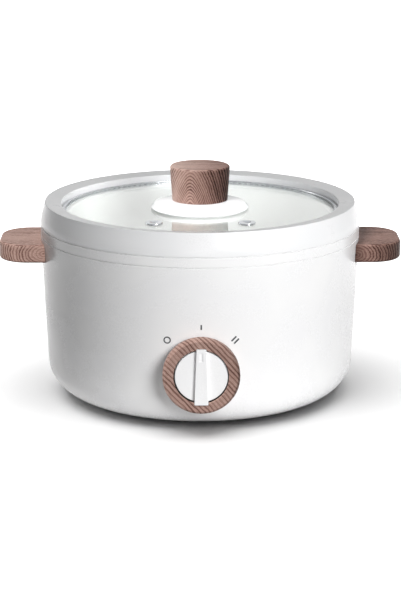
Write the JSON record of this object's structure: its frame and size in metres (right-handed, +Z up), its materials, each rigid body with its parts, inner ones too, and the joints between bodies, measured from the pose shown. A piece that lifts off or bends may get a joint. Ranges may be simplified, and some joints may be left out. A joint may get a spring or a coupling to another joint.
{
  "type": "electric hot pot with lid",
  "caption": "Round countertop electric hot pot with a flat lift-off glass lid, side handles, a front heat dial and a rear power inlet.",
  "frame": {"origin": "on the body's axis, level with the soles of the four feet", "axes": "+Z up along the body's axis; the dial faces -Y and the power inlet +Y; the side handles lie along X"},
  "size_m": [0.3292, 0.2733, 0.1904],
  "materials": {
    "white_shell": "satin-gloss white moulded plastic",
    "rim_white": "satin white moulded plastic",
    "wood_grain": "rose-brown wood grain with dark fine lines, satin",
    "dial_white": "gloss white moulded plastic",
    "print_grey": "dark grey pad print",
    "pot_white": "aluminium with a white ceramic non-stick coat",
    "lid_glass": "clear toughened glass",
    "lid_steel": "polished stainless steel",
    "seal_silicone": "translucent pale silicone",
    "screw_steel": "zinc-plated steel",
    "sheet_steel": "galvanised sheet steel",
    "element_steel": "dull heat-stained steel tube",
    "plate_aluminium": "plain aluminium",
    "brass": "plain brass",
    "ceramic": "unglazed steatite ceramic",
    "cover_plastic": "matt pale grey moulded plastic",
    "foot_rubber": "matt dark rubber",
    "black_plastic": "fine-textured black thermoset",
    "wire_brown": "brown wire insulation",
    "wire_blue": "blue wire insulation",
    "wire_green": "green-yellow wire insulation",
    "wire_white": "white glass-braid wire sleeve"
  },
  "bodies": {
    "base": {"outer_shell": "white_shell", "trim_band": "white_shell", "upper_collar": "rim_white", "bottom_cover": "cover_plastic", "base_screws": "screw_steel", "pot_gasket": "seal_silicone", "inner_pot": "pot_white", "heat_plate": "plate_aluminium", "heating_element_outer": "element_steel", "heating_element_inner": "element_steel", "element_clamps": "sheet_steel", "clamp_screws": "screw_steel", "pot_studs": "screw_steel", "heat_shield": "sheet_steel", "shield_nuts": "screw_steel", "tie_rods": "screw_steel", "tie_screws": "screw_steel", "terminal_bushings": "ceramic", "thermostat": "ceramic", "thermostat_bracket": "sheet_steel", "bracket_screws": "screw_steel", "thermal_fuse": "wire_white", "fuse_clip": "sheet_steel", "handle_right": "wood_grain", "handle_left": "wood_grain", "handle_plate_right": "sheet_steel", "handle_plate_left": "sheet_steel", "handle_screws": "screw_steel", "rotary_switch": "black_plastic", "switch_nut": "screw_steel", "dial_marks": "print_grey", "power_inlet": "black_plastic", "inlet_pins": "brass", "inlet_screws": "screw_steel", "wire_live": "wire_brown", "wire_neutral": "wire_blue", "wire_earth": "wire_green", "element_leads": "wire_white", "foot_back_right": "foot_rubber", "foot_back_left": "foot_rubber", "foot_front_left": "foot_rubber", "foot_front_right": "foot_rubber"},
    "dial": {"dial_ring": "wood_grain", "dial_face": "dial_white", "switch_shaft": "screw_steel"},
    "lid": {"lid_rim": "lid_steel", "lid_gasket": "seal_silicone", "lid_glass": "lid_glass", "lid_collar": "rim_white", "lid_knob": "wood_grain", "knob_insert": "brass", "knob_washer": "seal_silicone", "knob_screw": "screw_steel", "vent_eyelet_left": "lid_steel", "vent_eyelet_right": "lid_steel"}
  },
  "joints": [
    {"name": "dial_turn", "type": "hinge", "parent": "base", "child": "dial", "pos_m": [0, -0.129, 0.0506], "axis": [0, 1, 0], "range_deg": [-45, 45]},
    {"name": "lid_lift", "type": "slide", "parent": "base", "child": "lid", "axis": [0, 0, 1], "range_m": [0, 0.12]}
  ]
}
